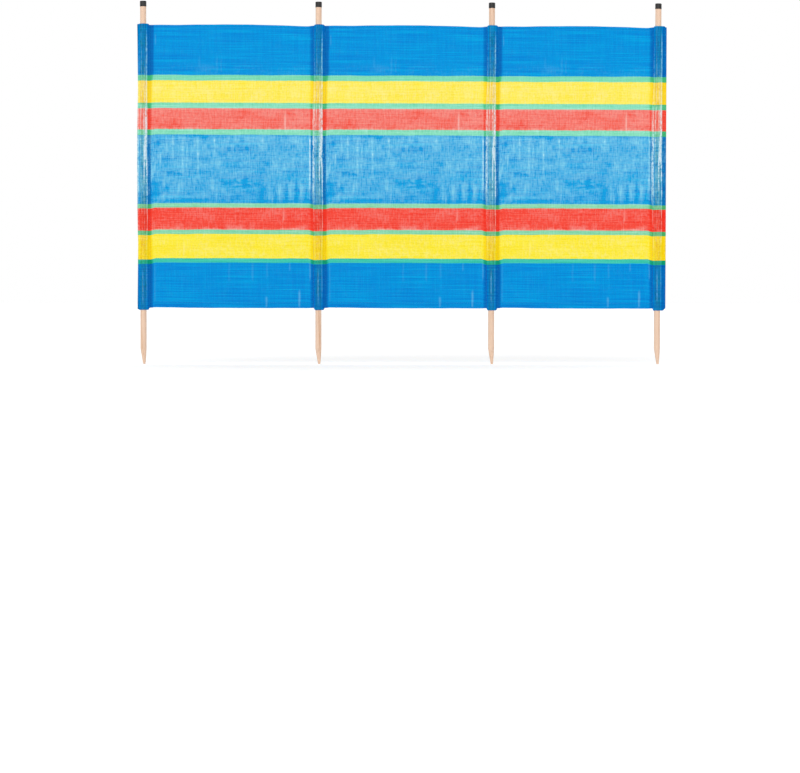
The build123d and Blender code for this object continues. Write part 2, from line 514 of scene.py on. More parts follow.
class Nodes:
    """Builds the node tree of a material or world. Methods give back what comes out of their nodes."""

    def __init__(self, owner):
        owner.use_nodes = True
        self.tree = owner.node_tree
        self.tree.nodes.clear()

    def add(self, kind, inputs=(), **settings):
        """Adds a node with its settings, then its values and links by socket, and gives back its outputs."""
        made = self.tree.nodes.new("ShaderNode" + kind)
        for name, value in settings.items():
            setattr(made, name, value)
        for socket, value in dict(inputs).items():
            if isinstance(value, bpy.types.NodeSocket):
                self.tree.links.new(value, made.inputs[socket])
            else:
                made.inputs[socket].default_value = value
        return made.outputs

    def maths(self, operation, first, second=0.0, third=0.0, clamp=False):
        return self.add("Math", {0: first, 1: second, 2: third}, operation=operation, use_clamp=clamp)[0]

    def scaled(self, value, factor, added=0.0, clamp=False):
        return self.maths("MULTIPLY_ADD", value, factor, added, clamp)

    def ranged(self, value, low, high, start, end, **settings):
        """Takes the range from low to high onto the one from start to end, and no further."""
        return self.add("MapRange", {0: value, 1: low, 2: high, 3: start, 4: end}, **settings)[0]

    def mixed(self, factor, first, second, blend_type="MIX"):
        return self.add("Mix", {0: factor, 6: first, 7: second}, data_type="RGBA", blend_type=blend_type)[2]

    def times(self, colour, factor):
        return self.mixed(1.0, colour, factor, "MULTIPLY")

    def ramp(self, value, stops, interpolation="LINEAR"):
        """A colour ramp through stops, each a place and a colour with its alpha."""
        made = self.tree.nodes.new("ShaderNodeValToRGB")
        self.tree.links.new(value, made.inputs[0])
        made.color_ramp.interpolation = interpolation
        elements = made.color_ramp.elements
        for index, (place, colour) in enumerate(stops):
            element = elements[index] if index < 2 else elements.new(place)
            element.position = place
            element.color = colour
        return made.outputs

    def read(self, name):
        """A figure that the mesh holds for each vertex."""
        return self.add("Attribute", attribute_name=name)["Fac"]

    def moved(self, place, **values):
        return self.add("Mapping", {"Vector": place, **values})[0]

    def noise(self, place, scale, detail=2.0, roughness=0.5, distortion=0.0):
        values = {"Scale": scale, "Detail": detail, "Roughness": roughness, "Distortion": distortion}
        return self.add("TexNoise", {"Vector": place, **values})["Fac"]

    def bumped(self, height, strength=1.0, distance=1.0):
        return self.add("Bump", {"Strength": strength, "Distance": distance, "Height": height})[0]

    def looked_at(self):
        """1 for what the camera sees, in gloss and through glass too, and 0 for light falling on things."""
        path = self.add("LightPath")
        seen = self.maths("MAXIMUM", path["Is Camera Ray"], path["Is Glossy Ray"])
        return self.maths("MAXIMUM", seen, path["Is Transmission Ray"])

    def surface(self, **inputs):
        """Ends a material with a principled surface. Its sockets are named with low lines for spaces."""
        named = {name.replace("_", " "): value for name, value in inputs.items()}
        self.add("OutputMaterial", {"Surface": self.add("BsdfPrincipled", named)[0]})


def new_material(name):
    """A material and the builder of its node tree."""
    material = bpy.data.materials.new(name)
    return material, Nodes(material)


def woven_cloth():
    """Woven polypropylene tape with a thin film laminated over it.
    The film gives a soft broad gloss over the weave, and turns white where the cloth has been creased."""
    name = "Laminated woven polypropylene"
    if name in bpy.data.materials:
        return bpy.data.materials[name]
    colours, sizes = bpy.context.scene.windbreak_colours, bpy.context.scene.windbreak_sizes
    material, tree = new_material(name)

    # The UV map is in metres: along the cloth, and up from its lower edge
    cloth = tree.add("UVMap", uv_map="cloth")["UV"]
    height = tree.add("SeparateXYZ", {0: cloth})["Y"]

    def upwards(level):
        """A height above the cloth's lower edge in millimetres, as a share of the cloth's height."""
        return level * MM / CLOTH_HEIGHT

    def grain(along, up, detail=2.0, roughness=0.5, place=0.0):
        """Noise whose marks are so many millimetres long and high."""
        scale = (1 / (along * MM), 1 / (up * MM), 1)
        stretched = tree.moved(cloth, Location=(place, place, place), Scale=scale)
        return tree.noise(stretched, 1.0, detail, roughness)

    # Printed stripes, whose edges wander by 2 mm over a hand's breadth and fray by half a millimetre
    wander = tree.scaled(grain(160, 400), 7 * MM, -3.5 * MM)
    fray = tree.scaled(grain(5, 9), 3 * MM, -1.5 * MM)
    edge = tree.maths("ADD", tree.maths("ADD", height, wander), fray)
    stops, level = [], 0
    for stripe, width in STRIPES:
        # The alpha holds how much painted shade deepens the stripe where two layers let less light through
        doubled_shade = DOUBLED_SHADE[stripe.split("_")[1]]
        stops.append((upwards(level), (*getattr(colours, stripe), doubled_shade)))
        level += width
    stripes = tree.ramp(tree.maths("DIVIDE", edge, CLOTH_HEIGHT), stops, "CONSTANT")

    # The dye deepens where a tape lies thicker, and painted shade deepens it where two layers let less light
    # through
    weft = grain(260, 3.6, place=3.0)
    warp = grain(4.5, 200, place=7.0)
    doubled = tree.read("doubled")
    dye = tree.scaled(weft, 1.1, 0.28)
    dye = tree.scaled(warp, 0.36, dye)
    dye = tree.scaled(doubled, stripes["Alpha"], dye)
    coloured = tree.add("Gamma", {"Color": stripes["Color"], "Gamma": dye})[0]
    # Specks of dust and small shadows between the tapes
    coloured = tree.times(coloured, tree.ranged(grain(7, 5, 3.0, 0.6, 41.0), 0.35, 0.65, 0.93, 1.04))
    # Doubled cloth takes a further, warmer painted shade
    layered = tree.mixed(doubled, coloured, tree.times(coloured, (1.0, 0.92, 0.80, 1)))

    # Over a pole the wood's tint shows through the cloth, with painted shade where the pole keeps light from
    # passing through, darkest between the crinkles
    specks = tree.scaled(grain(4.5, 9, 3.0, 0.6, 21.0), 0.7, grain(3.2, 60, 2.0, 0.5, 25.0))
    hollows = tree.ranged(specks, 0.90, 0.66, 0.0, 0.8)
    pole_shaded = tree.times(coloured, (0.97, 0.88, 0.79, 1))
    pole_shaded = tree.mixed(hollows, pole_shaded, tree.times(pole_shaded, (0.84, 0.64, 0.42, 1)))
    warmed = tree.mixed(0.005, pole_shaded, (*colours.wood, 1))
    backed = tree.mixed(tree.read("over_pole"), layered, warmed)

    # A painted sheen from a soft light, partly standing for whitened film: a fine veil in the weave's
    # directions, most of it at mid height
    stops = [(upwards(level), (average, variation / 2, 0, 1)) for level, average, variation in SHEEN_AND_WHITENING]
    belt = tree.ramp(tree.maths("DIVIDE", height, CLOTH_HEIGHT), stops)
    average, half_variation, _ = tree.add("SeparateColor", {"Color": belt["Color"]})
    dashes_across = grain(34, 4.4, 2.0, 0.55, 9.0)
    mottle = grain(11, 13, 4.0, 0.6, 5.0)
    parts = (
        (grain(4.8, 36, 2.0, 0.55, 1.0), 0.46),
        (dashes_across, 0.34),
        (mottle, 0.28),
        (grain(74, 52, 2.0, 0.5, 13.0), 0.34),
    )
    # Noise is 0.5 on average, so this keeps the sum near zero
    texture = -0.5 * sum(weight for _, weight in parts)
    for part, weight in parts:
        texture = tree.scaled(part, weight, texture)
    veil = tree.scaled(tree.scaled(texture, 2.0), half_variation, average)
    # The painted highlights and shade of the creases from the mesh come and go along their length
    broken = tree.scaled(grain(4, 40, 3.0, 0.55, 17.0), 0.9, 0.55)
    white = tree.scaled(tree.read("whitening"), broken, veil)
    # The painted highlights on the gathered ridges of the sleeves break into slanting beads and upright
    # lines
    slanted = tree.moved(cloth, Rotation=(0, 0, 0.5), Scale=(1 / (4 * MM), 1 / (13 * MM), 1))
    upright = tree.scaled(grain(2.6, 60, place=33.0), 0.5)
    beads = tree.scaled(tree.noise(slanted, 1.0, 3.0, 0.6), 0.8, upright)
    beads = tree.ranged(beads, 0.54, 0.68, 0.22, 1.0)
    white = tree.scaled(tree.read("gathered"), beads, white, clamp=True)
    # Painted sheen and highlights are screened over the colour, and the strongest painted highlights go near
    # white
    veiled = tree.mixed(white, backed, (*colours.sheened_and_whitened, 1), "SCREEN")
    sharp = tree.ranged(white, 0.62, 1.0, 0.0, 0.7)
    finished = tree.mixed(sharp, veiled, (*colours.folded, 1))

    # Relief in metres: tapes passing over and under each other, then slubs and crinkles
    tape = 1 / sizes.tape_width
    across = tree.moved(cloth, Scale=(tape, tape, tape))
    parts = tree.add("SeparateXYZ", {0: across})
    warp_round, weft_round = (
        tree.maths("ABSOLUTE", tree.maths("SINE", tree.scaled(parts[axis], math.pi))) for axis in ("X", "Y")
    )
    checks = {"Vector": across, "Scale": 1.0, "Color1": (1, 1, 1, 1), "Color2": (0, 0, 0, 1)}
    over = tree.add("TexChecker", checks)["Fac"]
    weave = tree.add("Mix", {0: over, 2: weft_round, 3: warp_round}, data_type="FLOAT")[0]
    relief = tree.scaled(weave, 0.06 * MM)
    relief = tree.scaled(weft, 0.4 * MM, relief)
    relief = tree.scaled(warp, 0.3 * MM, relief)
    relief = tree.scaled(mottle, tree.scaled(half_variation, 1.4 * MM, 0.3 * MM), relief)
    relief = tree.scaled(dashes_across, tree.scaled(half_variation, 0.6 * MM, 0.2 * MM), relief)
    normal = tree.bumped(relief)
    tree.surface(
        Base_Color=finished,
        Roughness=tree.scaled(mottle, 0.25, 0.33),
        IOR=1.49,
        Specular_IOR_Level=0.015,
        Coat_Weight=0.025,
        Coat_Roughness=0.3,
        Coat_IOR=1.5,
        Normal=normal,
        Coat_Normal=normal,
    )
    return material


def planed_softwood():
    """Unvarnished pine or spruce dowel: pale and matt, with long fine growth lines and short fibres."""
    colours = bpy.context.scene.windbreak_colours
    material, tree = new_material("Planed softwood")
    place = tree.add("TexCoord")["Object"]
    # Growth lines are a few millimetres apart across the dowel, and drawn out fifty times along it
    rings = tree.noise(tree.moved(place, Scale=(1, 1, 0.02)), 1 / (4.5 * MM), 3.0, 0.55, 0.4)
    fibre = tree.noise(tree.moved(place, Scale=(1, 1, 0.035)), 1 / (0.9 * MM))
    lines = tree.ranged(rings, 0.5, 0.72, 0.0, 0.8, interpolation_type="SMOOTHSTEP")
    stripy = tree.mixed(lines, (*colours.wood, 1), (*colours.wood_rings, 1))
    tree.surface(
        Base_Color=tree.times(stripy, tree.ranged(fibre, 0.3, 0.7, 0.93, 1.04)),
        Roughness=tree.ranged(fibre, 0.0, 1.0, 0.58, 0.74),
        IOR=1.5,
        Specular_IOR_Level=0.3,
        Normal=tree.bumped(tree.maths("ADD", rings, fibre), 0.5, 0.1 * MM),
    )
    return material


def moulded_polyethylene():
    """Injection moulded polyethylene cap: black and satin, with the mould's fine grain and a little dust."""
    colours = bpy.context.scene.windbreak_colours
    material, tree = new_material("Moulded polyethylene")
    place = tree.add("TexCoord")["Object"]
    dust = tree.noise(place, 1 / (9 * MM), 4.0)
    dusty = tree.ranged(dust, 0.45, 0.75, 0.0, 0.06)
    tree.surface(
        Base_Color=tree.mixed(dusty, (*colours.cap, 1), (0.25, 0.24, 0.22, 1)),
        Roughness=tree.ranged(dust, 0.2, 0.8, 0.36, 0.52),
        IOR=1.51,
        Specular_IOR_Level=0.3,
        Normal=tree.bumped(tree.noise(place, 1 / (0.7 * MM)), 0.6, 0.06 * MM),
    )
    return material


def sewing_thread():
    """Spun polyester thread: soft sheen, with a fine twist."""
    colours = bpy.context.scene.windbreak_colours
    material, tree = new_material("Spun polyester thread")
    twist = tree.noise(tree.add("TexCoord")["Object"], 1 / (0.8 * MM))
    tree.surface(
        Base_Color=tree.times((*colours.thread, 1), tree.ranged(twist, 0.3, 0.7, 0.85, 1.15)),
        Roughness=0.55,
        Sheen_Weight=0.2,
        Normal=tree.bumped(twist, 0.6, 0.1 * MM),
    )
    return material


# How the cloth lies


def stripe_shift(height):
    """How far the stripes sit lower on the sleeves, at a height above the cloth's lower edge."""
    drop = bpy.context.scene.windbreak_sizes.stripe_drop
    return drop * (1 - min(max(height / CLOTH_HEIGHT, 0), 1))


def printed_height(z, share):
    """The height on the cut cloth of the point now at z, with this share of the stripe drop taken up."""
    height = z - CLOTH_BOTTOM
    for _ in range(3):
        height = z - CLOTH_BOTTOM + share * stripe_shift(height)
    return height


class Bay:
    """One bay of cloth, between two sleeves."""

    def __init__(self, number):
        self.number = number
        self.pole = POLE_AXIS[number]
        low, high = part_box(f"panel_{number}")
        self.left, self.right = low[0], high[0]
        self.left_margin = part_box(f"margin_{number}_right")[1][0]
        self.right_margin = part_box(f"margin_{number + 1}_left")[0][0]
        self.sizes = bpy.context.scene.windbreak_sizes
        # The photographed bays repeat each other, so each bay's own width is brought to the first one's
        self.stretch = (POLE_AXIS[2] - POLE_AXIS[1]) / (POLE_AXIS[number + 1] - self.pole)

    def along(self, x):
        """Millimetres from the bay's left pole, on the first bay's width."""
        return (x - self.pole) * self.stretch / MM

    def marks(self, x, z):
        """How far the creases lift the cloth here, how crumpled it is, and its painted highlight or shade.
        """
        place, level = self.along(x), z / MM
        lift, crumpled, white = 0.0, 0.0, 0.0
        for middle, height, wide, half, force in UPRIGHT_CREASES:
            if abs(place - middle) < wide * 2.2 + 2 and abs(level - height) < half * 1.6:
                bend = 1.5 * ripple(middle, level / 30, 2)
                fade = 1 - eased(half * 0.7, half * 1.5, abs(level - height))
                strength = force * fade * hump(place + bend - middle, wide)
                white += strength
                lift += strength * min(1, wide / 4)
        for middle, height, wide, high, force in CRUMPLED_PLACES:
            if abs(place - middle) < wide * 1.8 and abs(level - height) < high * 2:
                ragged = 1 + 0.5 * ripple(place / 7, level / 5, 31)
                strength = force * ragged * hump(place - middle, wide) * hump(level - height, high)
                white += strength
                crumpled += abs(strength)
        # Small ripples that lie across the cloth where it was folded in three, with painted light and shade
        # along them
        rippled = hump(place - 425, 44) * hump(level - 745, 26)
        white += 0.6 * rippled * ripple(place / 24, level / 8.5, 19)
        return lift, crumpled, white

    def doubled(self, x, z):
        """How much painted shade darkens the doubled cloth beside the sleeves here, as less light passes
        through.
        """
        to_left, to_right = followed(DOUBLED_REACH, z / MM)
        ragged = 1.4 * ripple(self.number, z * 16, 6)
        from_left_pole = (x - self.pole) / MM
        from_right_pole = (POLE_AXIS[self.number + 1] - x) / MM
        right_of_sleeve = 1 - eased(to_right - 6, to_right + 5, from_left_pole + ragged)
        left_of_sleeve = 1 - eased(to_left - 7, to_left + 5, from_right_pole + ragged)
        return max(right_of_sleeve, 0.8 * left_of_sleeve)

    def beside_sleeve(self, x, z):
        """Painted highlight on the fold along the next sleeve's left lip, where it spreads onto the bay's
        cloth.
        """
        place, width, pale = followed(LIP_FOLD, z / MM)
        return pale * plateau((x - POLE_AXIS[self.number + 1]) / MM - place, width)

    def margin_edge(self, x, z):
        """The step that the margins' free edges press through the cloth."""
        reach = 1.6 * MM
        return max(hump(x - self.left_margin - 2 * MM, reach), hump(x - self.right_margin + 2 * MM, reach))

    def depth(self, x, z):
        """How far behind the plane of the poles the cloth lies."""
        edge = min(x - self.left, self.right - x)
        free = eased(0, 30 * MM, edge)
        share = (x - self.left) / (self.right - self.left)
        place, level = self.along(x) * MM, z
        billow = math.sin(math.pi * share) * (0.7 + 0.3 * ripple(place * 2.2, level * 2.6, 4))
        swell = ripple(place * 7, level * 5, 11) * 1.6 * MM
        # Slack that hangs in upright folds beside the seams, and tight ripples across
        folds = hump(edge, 60 * MM) * ripple(place * 55, level * 4, 17) * 1.2 * MM
        small = ripple(place * 70, level * 22, 23) + ripple(place * 24, level * 110, 29)
        middle = 0.4 + 0.6 * eased(0.5, 0.68, level) * (1 - eased(1.0, 1.25, level))
        lift, crumpled, _ = self.marks(x, z)
        ruffled = ripple(place * 60, level * 190, 37) * min(crumpled * 3, 1) * 1.1 * MM
        crinkled = middle * self.sizes.crinkle * small
        return (
            -free * (self.sizes.billow * billow + swell + folds + crinkled + ruffled)
            - self.sizes.crease_height * max(min(lift * 2.5, 1), -0.8)
            - 0.3 * MM * self.margin_edge(x, z)
        )

    def edge_wander(self, x, z):
        """The upper and lower edges aren't cut quite straight."""
        share = (x - self.left) / (self.right - self.left)
        ends = eased(0, 0.04, min(share, 1 - share))
        top = 3.2 * hump(share - 0.5, 0.28) - 2.6 * eased(0.72, 0.98, share) + 0.8 * ripple(share * 9, 3, 5)
        bottom = 3.0 * (1 - eased(0.0, 0.35, share)) - 0.8 + 0.8 * ripple(share * 8, 7, 5)
        near_top = eased(CLOTH_TOP - 0.18, CLOTH_TOP, z)
        near_bottom = 1 - eased(CLOTH_BOTTOM, CLOTH_BOTTOM + 0.16, z)
        return ends * MM * (top * near_top + bottom * near_bottom)

    def place(self, x, z, behind=0):
        """Where a point of the cloth lies in the frame, so far behind its front."""
        return Vector((x, self.depth(x, z) + behind, z + self.edge_wander(x, z)))

    def printed(self, x, z):
        """The place on the cut cloth, in metres along and up."""
        edge = min(x - self.left, self.right - x)
        return (self.along(x) * MM, printed_height(z, 1 - eased(0, 26 * MM, edge)))


def spaced(low, high, step):
    """Places from low to high, about a step apart, without the last."""
    count = max(1, round((high - low) / step))
    return [low + (high - low) * i / count for i in range(count)]


def as_data(name, mesh):
    """Turns a bmesh into mesh data, and frees it."""
    data = bpy.data.meshes.new(name)
    mesh.to_mesh(data)
    mesh.free()
    return data


def cloth_grid(columns, rows, lie):
    """A closed sheet of cloth. For a column and row, lie gives where the sheet's middle lies, its place
    on the cut cloth in metres, and the four figures that the material reads."""
    mesh = bmesh.new()
    layers = [mesh.verts.layers.float.new(name) for name in FIGURES]
    uv = mesh.loops.layers.uv.new("cloth")
    bmesh.ops.create_grid(mesh, x_segments=columns - 1, y_segments=rows - 1, size=0.5)
    printed = {}
    for vertex in mesh.verts:
        column, row = round((vertex.co.x + 0.5) * (columns - 1)), round((vertex.co.y + 0.5) * (rows - 1))
        vertex.co, printed[vertex], values = lie(column, row)
        for layer, value in zip(layers, values):
            vertex[layer] = value
    for face in mesh.faces:
        for loop in face.loops:
            loop[uv].uv = printed[loop.vert]
    mesh.normal_update()

    # Half of the thickness goes to each side, with a closed rim, and the faces are turned outwards
    thickness = bpy.context.scene.windbreak_sizes.cloth_thickness
    for vertex in mesh.verts:
        vertex.co += vertex.normal * thickness / 2
    bmesh.ops.solidify(mesh, geom=mesh.faces[:], thickness=thickness)
    bmesh.ops.recalc_face_normals(mesh, faces=mesh.faces[:])
    return mesh


def finish_piece(name, mesh, material, body):
    """Turns a bmesh into a piece with the given material. It rides on the body, if one is given."""
    for face in mesh.faces:
        face.smooth = True
    data = as_data(name, mesh)
    data.materials.append(material)
    piece = bpy.data.objects.new(name, data)
    bpy.context.scene.collection.objects.link(piece)
    if body:
        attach(piece, body)
    return piece


class WINDBREAK_OT_panels(bpy.types.Operator):
    """Makes the three bays of cloth, each a sheet with its upper and lower edge folded back as hems"""

    bl_idname = "windbreak.panels"
    bl_label = "Panels"

    def execute(self, context):
        cloth = woven_cloth()
        fold = HEM_DEPTH / 2
        around = [math.pi * i / 4 for i in range(5)]
        # Rows run up the lower hem's back, round its fold, up the front, and down the upper hem's back.
        # Each holds its height and how far behind the front it lies.
        rows = [(CLOTH_BOTTOM + BOTTOM_HEM * share, HEM_DEPTH) for share in (1, 0.66, 0.33)]
        rows += [(CLOTH_BOTTOM + fold - fold * math.sin(a), fold + fold * math.cos(a)) for a in around]
        rows += [(z, 0) for z in spaced(CLOTH_BOTTOM + 3 * MM, CLOTH_TOP - 3 * MM, ROW_STEP)]
        rows += [(CLOTH_TOP - fold + fold * math.sin(a), fold - fold * math.cos(a)) for a in around]
        rows += [(CLOTH_TOP - TOP_HEM * share, HEM_DEPTH) for share in (0.33, 0.66, 1)]
        for number in BAYS:
            bay = Bay(number)
            # Columns stand closest at the margins' free edges, which press a step through the cloth
            left, right, near = bay.left_margin, bay.right_margin, 0.8 * MM
            turns = (bay.left, left - near, left + near, right - near, right + near, bay.right)
            steps = (COLUMN_STEP, 2 * near, 4 * MM, 2 * near, COLUMN_STEP)
            xs = [x for ends in zip(turns, turns[1:], steps) for x in spaced(*ends)] + [bay.right]

            def lie(column, row):
                x, (z, behind) = xs[column], rows[row]
                in_hem = z < CLOTH_BOTTOM + BOTTOM_HEM - 1 * MM or z > CLOTH_TOP - TOP_HEM + 1 * MM
                # Doubled cloth and the hems take painted shade, and less of the painted sheen and crease
                # highlights
                doubled = max(bay.doubled(x, z), 0.12 if in_hem else 0)
                white = bay.marks(x, z)[2] * (1 - 0.4 * doubled) - 0.22 * doubled
                figures = (doubled, 0.0, white, bay.beside_sleeve(x, z))
                return bay.place(x, z, behind), bay.printed(x, z), figures

            mesh = cloth_grid(len(xs), len(rows), lie)
            panel = finish_piece(f"cloth_panel_{number}", mesh, cloth, BAY_BODY[number])
            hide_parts(f"panel_{number}", f"top_hem_{number}", f"bottom_hem_{number}")
        return {"FINISHED"}


class WINDBREAK_OT_margins(bpy.types.Operator):
    """Makes the strips of doubled cloth that lie behind the panels beside each sleeve"""

    bl_idname = "windbreak.margins"
    bl_label = "Doubled margins"

    def execute(self, context):
        cloth = woven_cloth()
        low_end, high_end = CLOTH_BOTTOM + MARGIN_INSET, CLOTH_TOP - MARGIN_INSET
        zs = spaced(low_end, high_end, ROW_STEP) + [high_end]
        for number in BAYS:
            bay = Bay(number)
            strips = (
                (f"margin_{number}_right", bay.left, bay.left_margin),
                (f"margin_{number + 1}_left", bay.right_margin, bay.right),
            )
            for node, low, high in strips:
                xs = spaced(low, high, COLUMN_STEP) + [high]

                def lie(column, row):
                    x, z = xs[column], zs[row]
                    in_hem = max(
                        1 - eased(CLOTH_BOTTOM + BOTTOM_HEM, CLOTH_BOTTOM + BOTTOM_HEM + 8 * MM, z),
                        eased(CLOTH_TOP - TOP_HEM - 8 * MM, CLOTH_TOP - TOP_HEM, z),
                    )
                    behind = MARGIN_DEPTH + (MARGIN_OVER_HEM_DEPTH - MARGIN_DEPTH) * in_hem
                    # The margins are doubled all over, so they take the full painted shade
                    return bay.place(x, z, behind), bay.printed(x, z), (1.0, 0.0, 0.0, 0.0)

                mesh = cloth_grid(len(xs), len(zs), lie)
                strip = finish_piece(f"cloth_{node}", mesh, cloth, BAY_BODY[number])
                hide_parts(node)
        return {"FINISHED"}


class Sleeve:
    """One sleeve: a front and a back layer of cloth round a pole, meeting in flat lips at both sides."""

    def __init__(self, number):
        self.number = number
        self.axis = POLE_AXIS[number]
        self.sizes = bpy.context.scene.windbreak_sizes
        self.folded_left = number == 1
        self.closed_right = number == 4
        self.right_lip = END_LIP if self.closed_right else RIGHT_LIP
        self.radius = POLE_RADIUS + 0.3 * MM + self.sizes.cloth_thickness / 2

    def sides(self, z):
        """How far the cloth leaves the axis at the left and at the right, at this height."""
        share = (z - SLEEVE_BOTTOM) / (SLEEVE_TOP - SLEEVE_BOTTOM)
        slack = 0.8 * MM * ripple(self.number * 5, z * 6, 1)
        left = TIGHT_SIDE + slack * 0.5
        if self.folded_left:
            left += self.sizes.left_bulge * (math.sin(math.pi * min(max(share, 0), 1)) ** 0.8 - 0.2)
        return left, LOOSE_SIDE + (0 if self.closed_right else slack)

    def section(self, share, z, back):
        """The point at a share of the way across one layer, from the left lip to the right one."""
        left, right = self.sides(z)
        turn_left, turn_right = math.acos(self.radius / left), math.acos(self.radius / right)
        # A lip, a straight run to the pole, the way round it, a straight run from it, and a lip
        lengths = (
            0 if self.folded_left else LEFT_LIP - left,
            self.radius * math.tan(turn_left),
            self.radius * (math.pi - turn_left - turn_right),
            self.radius * math.tan(turn_right),
            self.right_lip - right,
        )
        run = share * sum(lengths)
        part = 0
        while part < 4 and run > lengths[part]:
            run -= lengths[part]
            part += 1
        if part == 0:
            x, y = -LEFT_LIP + run, 0
        elif part == 2:
            angle = turn_left + run / self.radius
            x, y = -self.radius * math.cos(angle), self.radius * math.sin(angle)
        elif part == 4:
            x, y = right + run, 0
        else:
            far, turn, side = (left, turn_left, -1) if part == 1 else (right, turn_right, 1)
            touch_x, touch_y = self.radius * math.cos(turn), self.radius * math.sin(turn)
            away = run / lengths[part] if side > 0 else 1 - run / lengths[part]
            x, y = side * (touch_x + (far - touch_x) * away), touch_y * (1 - away)
        if self.folded_left and x < 0:
            return x, y
        # The layers meet at the lips with the panel and its margin between them
        lip = BACK_LIP_DEPTH if back else -FRONT_LIP_DEPTH
        if self.closed_right and x > 0:
            lip = END_BACK_LIP_DEPTH if back else -END_FRONT_LIP_DEPTH
        joined = eased(0, 6 * MM, y)
        return x, max(y, lip * (1 - joined) + y * joined)

    def cut_width(self):
        """Width of the cut cloth: its front and back layer measured across, as a mean of five heights."""
        levels = [SLEEVE_BOTTOM + (SLEEVE_TOP - SLEEVE_BOTTOM) * i / 6 for i in range(1, 6)]
        across = 0
        for z in levels:
            for back in (False, True):
                path = [self.section(i / 100, z, back) for i in range(101)]
                across += sum(math.dist(here, beyond) for here, beyond in zip(path, path[1:]))
        return across / len(levels)

    def ridges(self, x, z, back):
        """Height of the folds pressed into the layer here, and their painted highlight, partly whitened
        film.
        """
        if back:
            return 0.5 * MM * ripple(x * 90, z * 5, self.number + 40) if x > 8 * MM else 0, 0
        height, white = 0, 0
        # Beads lean to the right as they rise, as gathers along a seam do
        slanted = z - x * 0.8
        for index, (tall, beaded, course) in enumerate(SLEEVE_RIDGES):
            place, width, pale = followed(course, z / MM)
            wander = 0.8 * ripple(index * 7, z * 9, self.number)
            coarse = ripple(self.number, slanted * 60, 3 + index)
            fine = ripple(7 + index, slanted * 190, self.number)
            bead = 1 + beaded * (0.6 * coarse + 0.3 * fine)
            near = plateau(x / MM + wander - place, width * (0.7 + 0.3 * bead))
            height = max(height, near * tall * MM * (0.4 + 0.6 * min(pale * 1.6, 1)) * bead)
            # The unsewn left fold takes a weaker painted highlight
            fold_highlight = LEFT_FOLD_HIGHLIGHT if self.folded_left and x < -15 * MM else 1
            white = max(white, near * fold_highlight * pale * min(max(bead, 0.3), 1.2))
        # Short slanting puckers where the loose side is gathered into its seam
        if x > 4 * MM:
            height += 0.4 * MM * (0.5 + 0.5 * ripple(x * 160, z * 60 + x * 90, 21 + self.number))
        return height, white

    def lie(self, share, row_share, back):
        """Where a point of the layer lies, its place on the cut cloth, and what its material reads."""
        x, y = self.section(share, SLEEVE_BOTTOM + (SLEEVE_TOP - SLEEVE_BOTTOM) * row_share, back)
        # The sleeve's ends hang past the panels' edges as tongues with slanting corners
        if x >= 0:
            outer = eased(24 * MM, 33 * MM, x) if self.closed_right else eased(19 * MM, 27 * MM, x)
        elif self.folded_left:
            outer = 0.5 * eased(15 * MM, 20 * MM, -x)
        else:
            outer = eased(14 * MM, 21 * MM, -x)
        low = SLEEVE_BOTTOM + (CLOTH_BOTTOM - SLEEVE_BOTTOM) * outer
        low += 0.8 * MM * ripple(x * 110, self.number, 2)
        high = SLEEVE_TOP + (CLOTH_TOP - SLEEVE_TOP) * outer
        z = low + (high - low) * row_share
        rise, white = self.ridges(x, z, back)
        y += rise
        # Over the pole the layer takes the pole's painted shade
        on_pole = 1 - eased(POLE_RADIUS - 1.5 * MM, POLE_RADIUS + 1.2 * MM, abs(x))
        # Two layers of sleeve cloth take painted shade and less painted sheen, more where the lips hold the
        # panel
        doubled = 0.3
        if x >= 0 or not self.folded_left:
            doubled += 0.7 * eased(15 * MM, 20 * MM, abs(x))
        # Each sleeve and each layer takes its own place in the cloth's pattern
        along = x + (0.4 if back else 0.0) + self.number
        # Painted glints as pale specks on the front layer, fewest where it is doubled
        specks = 0 if back else followed(SLEEVE_GLINTS, z / MM)[0] * (1 - doubled)
        figures = (doubled, on_pole, -0.2 * doubled, white + specks)
        return Vector((self.axis + x, y if back else -y, z)), (along, printed_height(z, 1.0)), figures


class WINDBREAK_OT_sleeves(bpy.types.Operator):
    """Makes the four cloth sleeves that the poles slide into. The end ones ride on the end bays, the middle
    ones on none
    """

    bl_idname = "windbreak.sleeves"
    bl_label = "Sleeves"

    def execute(self, context):
        cloth = woven_cloth()
        rides = {1: "left_bay", 2: None, 3: None, 4: "right_bay"}
        bends = {2: ("left_bay", "middle_bay"), 3: ("middle_bay", "right_bay")}
        rising = [i / SLEEVE_COLUMNS for i in range(SLEEVE_COLUMNS + 1)]
        falling = [1 - share for share in rising]
        for number in POLES:
            sleeve = Sleeve(number)
            # The end sleeves are one strip each, folded at the left end and joined at the right end
            if sleeve.folded_left:
                layers = [[(share, False) for share in falling[:-1]] + [(share, True) for share in rising]]
            elif sleeve.closed_right:
                layers = [[(share, False) for share in rising[:-1]] + [(share, True) for share in falling]]
            else:
                layers = [[(share, False) for share in rising], [(share, True) for share in falling]]
            joined = bmesh.new()
            for layer in layers:

                def lie(column, row):
                    share, back = layer[column]
                    return sleeve.lie(share, row / (SLEEVE_ROWS - 1), back)

                data = as_data("layer", cloth_grid(len(layer), SLEEVE_ROWS, lie))
                joined.from_mesh(data)
                bpy.data.meshes.remove(data)
            piece = finish_piece(f"cloth_sleeve_{number}", joined, cloth, rides[number])
            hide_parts(f"pocket_{number}")
            if number in bends:
                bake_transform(piece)
            sleeve.cut_width()
        return {"FINISHED"}


